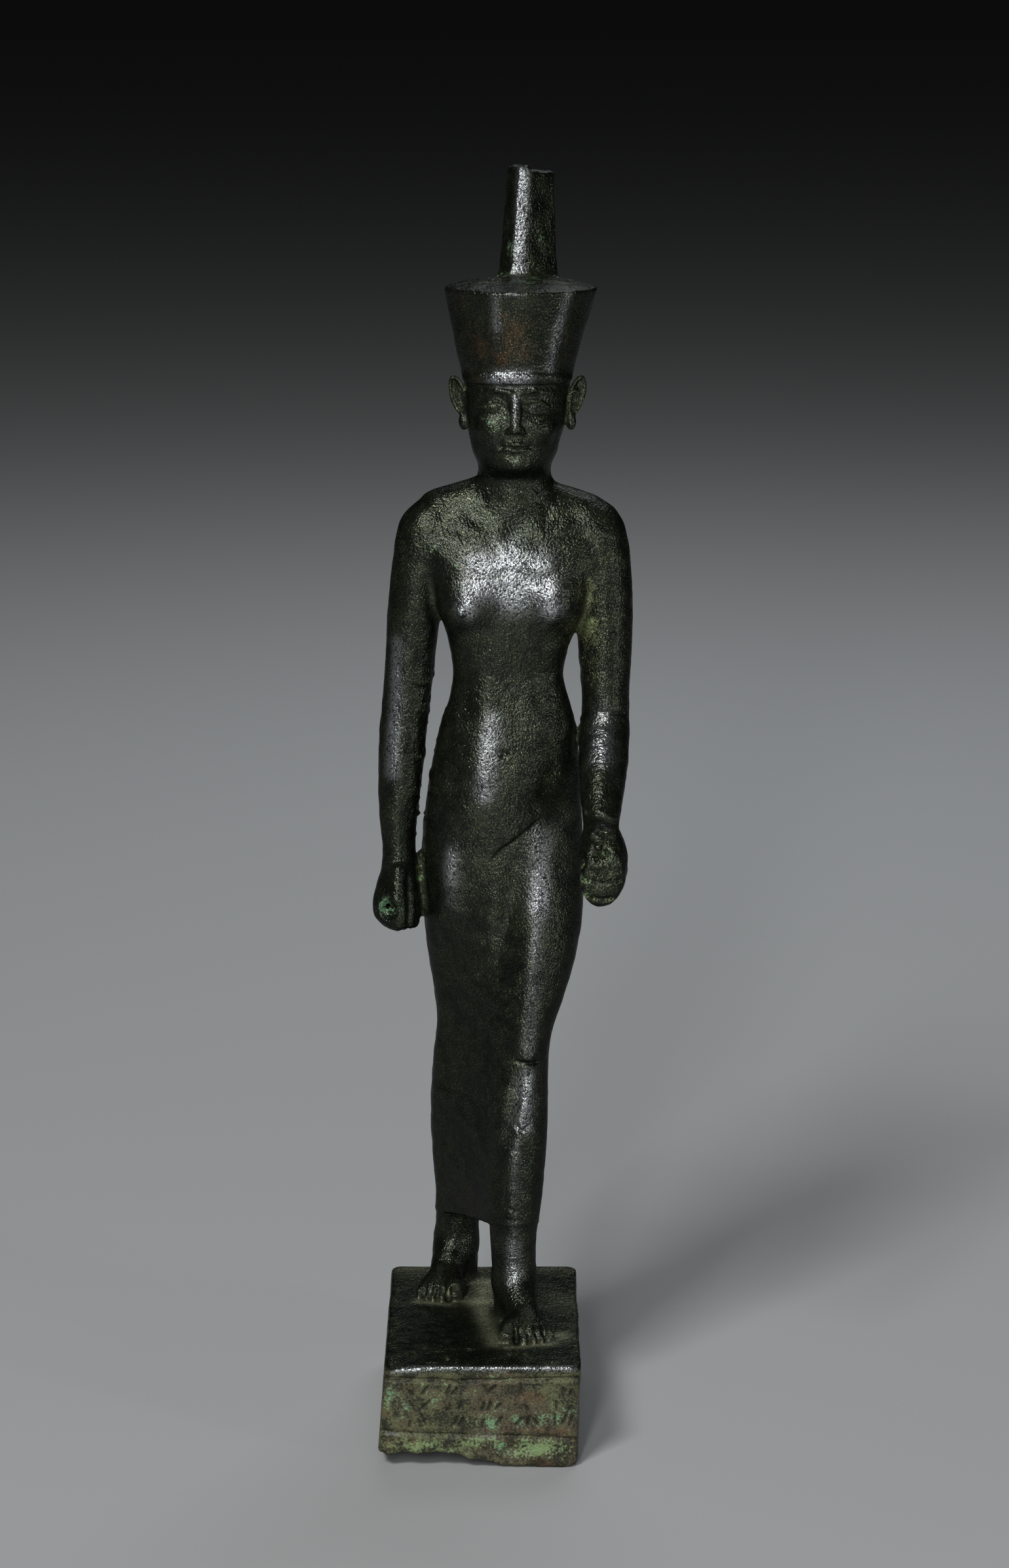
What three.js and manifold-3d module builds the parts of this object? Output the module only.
// A small solid-cast bronze statuette: a striding woman in a tight long dress and a flared crown with a
// flat top, on a rectangular base, all in one casting. Millimetres, +Z up. The figure faces -Y, and +X is
// the viewer's right. The origin is on the underside of the base, below the middle of its top.
import * as THREE from "three";
import { mergeVertices } from "three/addons/utils/BufferGeometryUtils.js";
import Module from "manifold-3d";

const wasm = await Module();
wasm.setup();

// Base
const BASE_WIDTH = 26.8;
const BASE_LENGTH = 42;
const BASE_TOP = 14.5;
const BASE_SPREAD = 0.3;
const BASE_DRIFT = -0.7;
const BASE_CORNER = 1.1;
const BASE_TOP_EDGE = 0.45;

// Broken lower edge of the base: how high it is broken away, how far back, and from where it fades out
const CHIP_RISE = 2;
const CHIP_DEPTH = 7;
const CHIP_FULL_TO = -3.5;
const CHIP_ENDS = 5.5;

// Inscription band on the front of the base
const BAND_TOP = 12.6;
const BAND_BOTTOM = 4.9;
const BAND_GROOVE = 0.35;
const BAND_MARGIN = 0.7;

// Dress: the thickness of the cloth, the sloping hem, and how far the cloth sinks in between the legs
const CLOTH = 0.25;
const HEM_FRONT = { y: -4, z: 28.9 };
const HEM_BACK = { y: 15, z: 25 };
const PANEL_SAG = 0.5;
const PANEL_EASE = 0.8;
const THIGHS_END = 64;
const HIPS_START = 84;

// Crown and spike
const CROWN_RIM = 158.4;
const SPIKE_FOOT = 157.6;
const SPIKE_TOP = 174.5;
const SPIKE_BACK = 4;
const SPIKE_BREAK_SLOPE = 0.16;

// Holes through the fists for what they once held
const HANGING_FIST_HOLE = { diameter: 1.7, x: -13.1, y: 5.2, z: 71.6 };
const FORWARD_FIST_HOLE = { diameter: 2.2, x: 16.0, fromElbow: 21.6 };

// The forearm that reaches forward
const ELBOW = new THREE.Vector3(16.9, 4.6, 98);
const FOREARM_SLOPE = THREE.MathUtils.degToRad(43);

// How many sides and rings round bodies are cut with
const BODY_SIDES = 38;
const BODY_FLATNESS = 0.6;
const HEAD_SIDES = 22;
const CROWN_SIDES = 30;
const LIMB_SIDES = 12;
const RING_STEP = 2.8;

// Stations of the body: height, middle across, half width, front and back
const TRUNK = [
  [74, 2.8, 11.2, -0.9, 14.2],
  [80, 2.75, 11.2, -0.8, 14.6],
  [86, 2.85, 10.9, -1.0, 13.9],
  [93, 3.2, 10.2, -0.9, 12.2],
  [99, 3.5, 9.2, -0.3, 10.7],
  [102, 3.65, 8.25, 0.1, 10.1],
  [105.4, 3.5, 7.6, 0.4, 9.8],
  [108.5, 3.6, 8.0, 0.1, 9.9],
  [112, 3.8, 9.0, -0.4, 10.4],
  [117, 3.9, 10.6, -0.6, 11.0],
  [121, 3.95, 12.4, 0, 11.4],
  [125, 4.0, 14.1, 0.8, 11.4],
  [127.6, 4.05, 13.8, 1.5, 11.2],
  [129.4, 3.8, 12.4, 2.0, 10.8],
  [130.6, 3.3, 10.4, 2.5, 10.4],
  [131.6, 3.3, 7.2, 3.0, 9.8],
  [132.8, 4.3, 4.4, 3.3, 9.2],
];

// The breasts swell the front of the trunk: their middles, how far they reach and how far they stand out
const BREASTS = { left: -2.4, right: 10.9, height: 115.6, reach: 2.7, stand: 2.4 };

// Stations of the two legs: height, middle across, middle in depth, half across, half deep
const FRONT_LEG = [
  [14.2, 4.6, -0.7, 3.1, 3.7],
  [18, 4.5, -0.6, 3.0, 3.6],
  [23, 4.3, -0.6, 3.1, 3.5],
  [28, 4.25, -0.5, 3.35, 3.8],
  [35, 4.65, 0, 3.75, 4.2],
  [43, 5.0, 0.6, 3.9, 4.4],
  [51, 5.25, 1.1, 3.7, 4.2],
  [55.5, 5.5, 1.6, 3.95, 4.4],
  [60, 6.1, 2.5, 4.9, 5.2],
  [66, 6.9, 4.0, 5.9, 6.2],
  [73, 7.45, 5.2, 6.35, 6.7],
  [80, 7.5, 6.0, 6.35, 6.7],
];
const BACK_LEG = [
  [14.2, -4.2, 16.2, 3.1, 3.8],
  [18, -4.1, 16.3, 3.05, 3.7],
  [22, -3.9, 16.2, 3.1, 3.6],
  [28, -3.5, 15.6, 3.25, 3.7],
  [35, -3.65, 14.6, 3.6, 4.2],
  [42, -3.65, 13.5, 3.75, 4.5],
  [49, -3.35, 12.3, 3.6, 4.4],
  [55, -2.8, 11.2, 3.6, 4.6],
  [60, -2.4, 10.4, 4.5, 5.4],
  [66, -2.15, 9.4, 5.6, 6.2],
  [73, -2.05, 8.6, 6.2, 6.5],
  [80, -2.05, 7.8, 6.3, 6.4],
];
const BARE_LEG_TOP = 38;

// Stations of the arm that hangs, from its fist up
const HANGING_ARM = [
  [69.8, -11.4, 5.2, 2.3, 3.5],
  [70.4, -11.6, 5.2, 2.8, 4.0],
  [71.5, -12.0, 5.2, 3.2, 4.4],
  [73, -12.05, 5.3, 3.35, 4.4],
  [75.5, -11.9, 5.5, 2.95, 4.0],
  [78, -11.65, 5.7, 2.5, 3.2],
  [81, -11.65, 5.8, 2.3, 2.7],
  [85, -11.75, 6.0, 2.6, 2.9],
  [90, -11.5, 6.3, 3.0, 3.4],
  [97, -11.05, 6.7, 3.3, 3.8],
  [103, -10.4, 6.9, 3.35, 3.8],
  [109, -9.85, 6.8, 3.5, 4.0],
  [115, -9.3, 6.6, 3.7, 4.3],
  [121, -8.6, 6.5, 3.75, 4.5],
  [124, -8.1, 6.5, 3.85, 4.6],
  [126.5, -7.6, 6.5, 3.7, 4.3],
  [128.3, -6.9, 6.5, 3.0, 3.5],
  [129.6, -6.0, 6.5, 1.8, 2.2],
];

// Stations of the upper arm above the bent elbow
const UPPER_ARM = [
  [93.2, 16.9, 4.0, 1.6, 2.0],
  [94.5, 16.9, 4.2, 2.6, 3.0],
  [98, 16.9, 4.6, 3.25, 3.8],
  [103, 16.9, 5.2, 3.3, 3.9],
  [109, 16.85, 5.7, 3.7, 4.1],
  [115, 16.75, 6.0, 3.85, 4.3],
  [121, 16.4, 6.2, 3.9, 4.5],
  [124, 16.0, 6.3, 3.9, 4.6],
  [126.5, 15.4, 6.4, 3.8, 4.3],
  [128.3, 14.6, 6.5, 3.2, 3.6],
  [129.6, 13.6, 6.5, 2.1, 2.4],
];

// Stations of the forearm and its fist: distance from the elbow, place across, lift, half across, half deep
const FOREARM = [
  [-2.2, 16.8, 0, 1.8, 1.8],
  [0, 16.75, 0, 3.15, 3.3],
  [5, 16.6, 0.2, 3.4, 3.4],
  [10, 16.35, 0.2, 3.1, 3.1],
  [14.5, 16.15, 0, 2.6, 2.7],
  [17, 16.05, 0, 2.45, 2.7],
  [19.2, 16.15, 0.2, 3.0, 3.7],
  [22, 16.3, 0.4, 3.3, 4.3],
  [25, 16.2, 0.4, 3.1, 4.2],
  [27.2, 16.0, 0.2, 2.5, 3.3],
  [28, 15.9, 0.1, 1.9, 2.5],
];

// Stations of the neck and head: height, middle across, half width, front and back
const HEAD = [
  [130.6, 4.2, 5.2, 2.6, 9.6],
  [132.6, 4.35, 4.5, 2.4, 9.6],
  [134.2, 4.4, 4.6, -0.7, 10.2],
  [136, 4.4, 5.55, -1.7, 11.0],
  [138, 4.45, 6.15, -1.9, 11.9],
  [140.6, 4.55, 6.75, -1.9, 12.6],
  [143.5, 4.65, 7.0, -1.8, 13.0],
  [147, 4.75, 7.1, -1.4, 13.0],
  [149, 4.8, 6.4, -0.6, 12.6],
];
const FACE = { x: 4.5, y: -1.8, brows: 144.7, eyes: 143.2, nose: 139.2, mouth: 137.3, chin: 134.9 };
const EYE_GAP = 2.75;

// Stations of the crown's flared wall, and of its part behind the ears that reaches down to the nape
const CROWN = [
  [146.5, 4.75, 7.45, -1.9, 13.2],
  [149.4, 4.75, 8.15, -2.5, 14.0],
  [152.9, 4.9, 9.0, -3.2, 15.0],
  [156.5, 5.1, 9.9, -4.0, 16.0],
  [CROWN_RIM - 0.35, 5.25, 10.45, -4.5, 16.5],
  [CROWN_RIM, 5.25, 10.3, -4.3, 16.3],
];
const CROWN_NAPE = [
  [138.5, 4.45, 5.6, 6.0, 12.9],
  [141, 4.55, 6.6, 5.6, 13.3],
  [144, 4.7, 7.15, 5.2, 13.4],
  [147.4, 4.75, 7.5, 2.0, 13.5],
];

// The low dome inside the crown's rim: how far in from the rim and how high
const CROWN_DOME = [
  [1, 0.15],
  [3.5, 0.7],
  [6.5, 1.1],
  [9.2, 1.3],
];

// Levels of the spike: height, middle across, width, how far the narrow front facet stands out, its width
const SPIKE = [
  [SPIKE_FOOT, 6.2, 8.9, 4.3, 2.6],
  [159.9, 6.25, 8.1, 4.0, 2.2],
  [163.6, 6.3, 7.4, 3.7, 1.9],
  [SPIKE_TOP, 6.55, 6.2, 3.2, 1.4],
];
const SPIKE_Y = 11.7;
const SPIKE_FACET_SHIFT = -0.95;

// Outline of a foot from heel to toes: place along, drift towards the toes, half width, height
const FOOT = [
  [0, 0, 1.6, 2.2],
  [0.06, 0, 2.4, 3.6],
  [0.3, 0.02, 2.9, 5.4],
  [0.5, 0.25, 3.3, 5.0],
  [0.68, 0.6, 3.9, 3.3],
  [0.84, 0.95, 4.2, 2.1],
  [0.92, 1, 4.0, 1.6],
];
const FOOT_SUNK = 0.4;
const FRONT_FOOT = { heel: 3.6, heelX: 4.5, toeLine: -12.9, inner: 1.2, outer: 10.5 };
const BACK_FOOT = { heel: 20.5, heelX: -3.9, toeLine: 4.5, inner: -1.0, outer: -10.6 };

// The five toes from the big one outward: how far back the tip sits and how wide the toe is
const TOES = [
  [0, 1.9],
  [0.1, 1.6],
  [0.4, 1.5],
  [0.9, 1.4],
  [1.6, 1.4],
];
const TOE_LENGTH = 4.6;
const TOE_HEIGHT = 2.5;

// Values of a table of stations at any place along its first column, on a smooth curve through every row.
function stationAt(rows, place) {
  let i = 0;
  while (i < rows.length - 2 && place > rows[i + 1][0]) {
    i += 1;
  }
  const before = rows[Math.max(i - 1, 0)];
  const from = rows[i];
  const to = rows[i + 1];
  const after = rows[Math.min(i + 2, rows.length - 1)];
  const span = to[0] - from[0];
  const t = THREE.MathUtils.clamp((place - from[0]) / span, 0, 1);
  return from.map((start, column) => {
    const end = to[column];
    const startSlope = ((end - before[column]) / (to[0] - before[0])) * span;
    const endSlope = ((after[column] - start) / (after[0] - from[0])) * span;
    const cubic = 2 * (start - end) + startSlope + endSlope;
    const square = 3 * (end - start) - 2 * startSlope - endSlope;
    return ((cubic * t + square) * t + startSlope) * t + start;
  });
}

// Evenly spaced places from the first to the last row, both included.
function placesAlong(rows, count) {
  const first = rows[0][0];
  const last = rows[rows.length - 1][0];
  return Array.from({ length: count }, (_, i) => first + ((last - first) * i) / (count - 1));
}

// Unit directions round a full turn. A flatness under 1 turns more of them to the front and back, which
// spreads the points of a wide oval evenly.
function directions(count, flatness = 1) {
  return Array.from({ length: count }, (_, i) => {
    const turn = (2 * Math.PI * i) / count;
    return new THREE.Vector2(flatness * Math.cos(turn), Math.sin(turn)).normalize();
  });
}

// The point of an oval whose outer side faces a direction.
function ovalPoint(x, y, across, deep, facing) {
  const reach = Math.hypot(across * facing.x, deep * facing.y);
  return new THREE.Vector2(x + (across ** 2 * facing.x) / reach, y + (deep ** 2 * facing.y) / reach);
}

// The same for a station that gives height, middle, half width, front and back.
function bodyPoint([, x, halfWidth, front, back], facing) {
  return ovalPoint(x, (front + back) / 2, halfWidth, (back - front) / 2, facing);
}

// A closed skin over rings of equally many points, with a flat fan over each end.
function skin(rings) {
  const sides = rings[0].length;
  const last = (rings.length - 1) * sides;
  const index = [];
  for (let corner = 0; corner < last; corner += 1) {
    const next = corner % sides === sides - 1 ? corner + 1 - sides : corner + 1;
    index.push(corner, next, next + sides, corner, next + sides, corner + sides);
  }
  for (let side = 1; side < sides - 1; side += 1) {
    index.push(0, side + 1, side);
    index.push(last, last + side, last + side + 1);
  }
  return new THREE.BufferGeometry().setFromPoints(rings.flat()).setIndex(index);
}

// A geometry as a solid that can be joined and cut, with its faces pointing outwards.
function solid(geometry) {
  const bare = geometry.clone();
  bare.deleteAttribute("normal");
  bare.deleteAttribute("uv");
  const merged = mergeVertices(bare, 1e-4);
  const vertProperties = new Float32Array(merged.attributes.position.array);
  const triVerts = new Uint32Array(merged.index.array);
  const made = new wasm.Manifold(new wasm.Mesh({ numProp: 3, vertProperties, triVerts }));
  if (made.volume() > 0) {
    return made;
  }
  return new wasm.Manifold(new wasm.Mesh({ numProp: 3, vertProperties, triVerts: triVerts.reverse() }));
}

function joined(solids) {
  return solids.reduce((whole, next) => whole.add(next));
}

// A limb with level oval sections.
function uprightLimb(rows, rings) {
  const sections = placesAlong(rows, rings).map((height) => {
    const [, x, y, across, deep] = stationAt(rows, height);
    return directions(LIMB_SIDES).map((facing) => {
      const point = ovalPoint(x, y, across, deep, facing);
      return new THREE.Vector3(point.x, point.y, height);
    });
  });
  return solid(skin(sections));
}

// A body with level sections given by front and back.
function levelBody(rows, rings, sides) {
  const sections = placesAlong(rows, rings).map((height) => {
    const row = stationAt(rows, height);
    return directions(sides).map((facing) => {
      const point = bodyPoint(row, facing);
      return new THREE.Vector3(point.x, point.y, height);
    });
  });
  return solid(skin(sections));
}

// A sphere stretched to a size, turned and placed.
function bead(size, place, turn = [0, 0, 0], segments = 8) {
  const geometry = new THREE.SphereGeometry(0.5, segments, Math.round(segments * 0.75));
  geometry.scale(...size);
  geometry.applyMatrix4(new THREE.Matrix4().makeRotationFromEuler(new THREE.Euler(...turn)));
  geometry.translate(...place);
  return solid(geometry);
}

// A straight round rod centred on a place.
function rod(diameter, length, direction, middle) {
  const geometry = new THREE.CylinderGeometry(diameter / 2, diameter / 2, length, 12);
  const upright = new THREE.Vector3(0, 1, 0);
  geometry.applyQuaternion(new THREE.Quaternion().setFromUnitVectors(upright, direction));
  geometry.translate(middle.x, middle.y, middle.z);
  return solid(geometry);
}

// The dress is a sheath stretched round both legs. Between them it runs straight from one leg to the other,
// and sinks in a little.
function sheathPoint(height, facing) {
  const legs = [FRONT_LEG, BACK_LEG].map((leg) => {
    const [, x, y, across, deep] = stationAt(leg, height);
    const point = ovalPoint(x, y, across + CLOTH, deep + CLOTH, facing);
    return { point, reach: point.dot(facing) };
  });
  const share = 1 / (1 + Math.exp((legs[1].reach - legs[0].reach) / PANEL_EASE));
  const slack = PANEL_SAG * 4 * share * (1 - share);
  return legs[1].point.lerp(legs[0].point, share).addScaledVector(facing, -slack);
}

// Everything under the sloping plane of the hem.
function belowHem() {
  const slope = (HEM_BACK.z - HEM_FRONT.z) / (HEM_BACK.y - HEM_FRONT.y);
  const box = new THREE.BoxGeometry(60, 80, 20).translate(0, 0, -10);
  const tilt = new THREE.Matrix4().identity();
  tilt.elements[6] = slope;
  tilt.elements[14] = HEM_FRONT.z - slope * HEM_FRONT.y;
  return solid(box.applyMatrix4(tilt));
}

// How far the breasts push out a point of the trunk's front.
function bustAt(x, height) {
  const { left, right, reach, stand } = BREASTS;
  return [left, right].reduce((swell, middle) => {
    const away = ((x - middle) ** 2 + (height - BREASTS.height) ** 2) / (2 * reach ** 2);
    return swell + stand * Math.exp(-away);
  }, 0);
}

// Dress and torso in one skin: round the legs below, round the hips and trunk above.
function dressedBody() {
  const lowest = HEM_BACK.z - 2;
  const neck = TRUNK[TRUNK.length - 1][0];
  const levels = Math.round((neck - lowest) / RING_STEP);
  const rings = placesAlong([[lowest], [neck]], levels).map((height) => {
    const trunkShare = THREE.MathUtils.smoothstep(height, THIGHS_END, HIPS_START);
    const row = stationAt(TRUNK, height);
    return directions(BODY_SIDES, BODY_FLATNESS).map((facing) => {
      const point = sheathPoint(height, facing).lerp(bodyPoint(row, facing), trunkShare);
      const swell = facing.y < 0 ? bustAt(point.x, height) : 0;
      return new THREE.Vector3(point.x, point.y - swell, height);
    });
  });
  return solid(skin(rings)).subtract(belowHem());
}

// Forearm and hand that reach forward and down from the elbow, with the fist bored for a staff.
function forearm() {
  const along = new THREE.Vector3(0, -Math.cos(FOREARM_SLOPE), -Math.sin(FOREARM_SLOPE));
  const up = new THREE.Vector3(0, -Math.sin(FOREARM_SLOPE), Math.cos(FOREARM_SLOPE));
  const sections = placesAlong(FOREARM, 15).map((distance) => {
    const [, x, lift, across, deep] = stationAt(FOREARM, distance);
    const middle = ELBOW.clone().setX(x).addScaledVector(along, distance).addScaledVector(up, lift);
    return directions(LIMB_SIDES).map((facing) => {
      const point = ovalPoint(0, 0, across, deep, facing);
      return middle.clone().setX(x + point.x).addScaledVector(up, point.y);
    });
  });
  const { diameter, x, fromElbow } = FORWARD_FIST_HOLE;
  const hole = rod(diameter, 20, up, ELBOW.clone().setX(x).addScaledVector(along, fromElbow));
  return solid(skin(sections)).subtract(hole);
}

// The arm that hangs, its fist bored from front to back and joined to the hip by a web of metal.
function hangingArm() {
  const { diameter, x, y, z } = HANGING_FIST_HOLE;
  const hole = rod(diameter, 20, new THREE.Vector3(0, 1, 0), new THREE.Vector3(x, y, z));
  const web = bead([2.6, 4.6, 9.4], [-8.6, 6.2, 75.6]);
  return uprightLimb(HANGING_ARM, 21).subtract(hole).add(web);
}

// Features of a calm, regular face.
function face() {
  const { x, y, brows, eyes, nose, mouth, chin } = FACE;
  const noseMiddle = (eyes + mouth) / 2 + 0.9;
  const pairs = [-1, 1].flatMap((side) => [
    bead([3.2, 1.5, 1.4], [x + side * EYE_GAP, y + 0.55, eyes]),
    bead([4, 1.4, 0.7], [x + side * EYE_GAP, y + 0.45, brows]),
  ]);
  return [
    bead([2, 2.6, 5.2], [x, y + 0.1, noseMiddle], [-0.22, 0, 0]),
    bead([2.7, 1.8, 1.5], [x, y - 0.25, nose]),
    bead([3.8, 1.6, 0.8], [x, y + 0.15, mouth + 0.35]),
    bead([3.3, 1.6, 0.9], [x, y + 0.2, mouth - 0.45]),
    bead([3, 2.2, 2.2], [x, y + 0.75, chin]),
    ...pairs,
  ];
}

function ears() {
  return [-1, 1].flatMap((side) => [
    bead([1.6, 4.2, 6.2], [4.7 + side * 8.1, 5.2, 143.4], [0.18, side * 0.3, side * -0.55], 10),
    bead([1.7, 1.7, 2.2], [4.6 + side * 7.1, 4.6, 140.1]),
  ]);
}

// The crown's wall flares to a thin rim round a low domed top.
function crown() {
  const ring = (height, inward, lift) => {
    const [, x, half, front, back] = stationAt(CROWN, height);
    return directions(CROWN_SIDES).map((facing) => {
      const point = bodyPoint([height, x, half - inward, front + inward, back - inward], facing);
      return new THREE.Vector3(point.x, point.y, height + lift);
    });
  };
  const wall = CROWN.map(([height]) => ring(height, 0, 0));
  const top = CROWN_DOME.map(([inward, lift]) => ring(CROWN_RIM, inward, lift));
  return solid(skin([...wall, ...top])).add(levelBody(CROWN_NAPE, 6, HEAD_SIDES));
}

// The spike has a narrow front facet and broad flanks, and ends in a rough break that slopes to one side.
function spike() {
  const rings = SPIKE.map(([height, x, width, stand, facet]) => {
    const outline = [
      [-width / 2, 0],
      [SPIKE_FACET_SHIFT - facet / 2, -stand],
      [SPIKE_FACET_SHIFT + facet / 2, -stand],
      [width / 2, 0],
      [width / 3, SPIKE_BACK],
      [-width / 3, SPIKE_BACK],
    ];
    const slope = height === SPIKE_TOP ? SPIKE_BREAK_SLOPE : 0;
    return outline.map(([across, back]) => {
      const broken = slope * Math.max(across - SPIKE_FACET_SHIFT, 0);
      return new THREE.Vector3(x + across, SPIKE_Y + back, height - broken);
    });
  });
  return solid(skin(rings));
}

// A foot on the base: a low wedge from heel to toes, with the five toes in front.
function foot({ heel, heelX, toeLine, inner, outer }) {
  const toeX = (inner + outer) / 2;
  const sections = placesAlong(FOOT, 11).map((place) => {
    const [, drift, half, high] = stationAt(FOOT, place);
    const x = THREE.MathUtils.lerp(heelX, toeX, drift);
    const y = THREE.MathUtils.lerp(heel, toeLine, place);
    return directions(LIMB_SIDES).map((facing) => {
      const point = ovalPoint(x, 0, half, high, facing);
      return new THREE.Vector3(point.x, y, BASE_TOP + Math.max(point.y, -FOOT_SUNK));
    });
  });
  const total = TOES.reduce((sum, [, width]) => sum + width, 0);
  let passed = 0;
  const toes = TOES.map(([back, width]) => {
    const x = THREE.MathUtils.lerp(inner, outer, (passed + width / 2) / total);
    const y = toeLine + TOE_LENGTH / 2 + back;
    passed += width;
    return bead([width * 1.12, TOE_LENGTH, TOE_HEIGHT], [x, y, BASE_TOP + 0.75], [0.1, 0, 0]);
  });
  return joined([solid(skin(sections)), ...toes]);
}

// A rectangle with round corners.
function roundedOutline(width, length, corner) {
  const across = width / 2 - corner;
  const along = length / 2 - corner;
  const shape = new THREE.Shape();
  const corners = [
    [across, -along],
    [across, along],
    [-across, along],
    [-across, -along],
  ];
  corners.forEach(([x, y], i) => {
    const start = ((i - 1) * Math.PI) / 2;
    shape.absarc(x, y, corner, start, start + Math.PI / 2);
  });
  return shape.getPoints(4).slice(0, -1);
}

// The block of the base: round corners, a worn top edge, and sides that spread and drift a little below.
function base() {
  const levels = [
    [0, -BASE_SPREAD],
    [BASE_TOP - BASE_TOP_EDGE, 0],
    [BASE_TOP - BASE_TOP_EDGE * 0.3, BASE_TOP_EDGE * 0.3],
    [BASE_TOP, BASE_TOP_EDGE],
  ];
  const rings = levels.map(([height, inset]) => {
    const drift = BASE_DRIFT * (1 - height / BASE_TOP);
    const outline = roundedOutline(BASE_WIDTH - 2 * inset, BASE_LENGTH - 2 * inset, BASE_CORNER);
    return outline.map((point) => new THREE.Vector3(point.x + drift, point.y, height));
  });
  return solid(skin(rings)).subtract(joined([chip(), ...bandGrooves()]));
}

// What is broken away from the lower front edge: most at the one corner, nothing past the middle.
function chip() {
  const front = -BASE_LENGTH / 2;
  const ends = [
    [-BASE_WIDTH, CHIP_RISE],
    [CHIP_FULL_TO, CHIP_RISE],
    [CHIP_ENDS, -0.5],
  ];
  const rings = ends.map(([x, rise]) => [
    new THREE.Vector3(x, front - 3, -1),
    new THREE.Vector3(x, front + CHIP_DEPTH, -1),
    new THREE.Vector3(x, front + CHIP_DEPTH, Math.min(0, rise)),
    new THREE.Vector3(x, front + 1.5, rise * 0.75),
    new THREE.Vector3(x, front - 3, rise),
  ]);
  return solid(skin(rings));
}

// Two incised lines bound the inscription band.
function bandGrooves() {
  return [BAND_TOP, BAND_BOTTOM].map((height) => {
    const groove = new THREE.CylinderGeometry(BAND_GROOVE, BAND_GROOVE, BASE_WIDTH - 2 * BAND_MARGIN, 4);
    groove.rotateZ(Math.PI / 2);
    return solid(groove.translate(BASE_DRIFT / 2, -BASE_LENGTH / 2 - BAND_GROOVE / 3, height));
  });
}

function bareLeg(rows) {
  return uprightLimb(rows.filter(([height]) => height < BARE_LEG_TOP), 9);
}

function casting() {
  const whole = joined([
    base(),
    foot(FRONT_FOOT),
    foot(BACK_FOOT),
    bareLeg(FRONT_LEG),
    bareLeg(BACK_LEG),
    dressedBody(),
    hangingArm(),
    uprightLimb(UPPER_ARM, 13),
    forearm(),
    levelBody(HEAD, 12, HEAD_SIDES),
    ...face(),
    ...ears(),
    crown(),
    spike(),
  ]);
  const { vertProperties, triVerts } = whole.getMesh();
  const geometry = new THREE.BufferGeometry();
  geometry.setAttribute("position", new THREE.BufferAttribute(vertProperties, 3));
  geometry.setIndex(new THREE.BufferAttribute(triVerts, 1));
  geometry.computeVertexNormals();
  return geometry;
}

const bronze = new THREE.MeshStandardMaterial({ color: 0x2b2f24, roughness: 0.42, metalness: 0.75 });
const statuette = new THREE.Mesh(casting(), bronze);
statuette.name = "statuette";

const part = new THREE.Group();
part.add(statuette);

export default part;
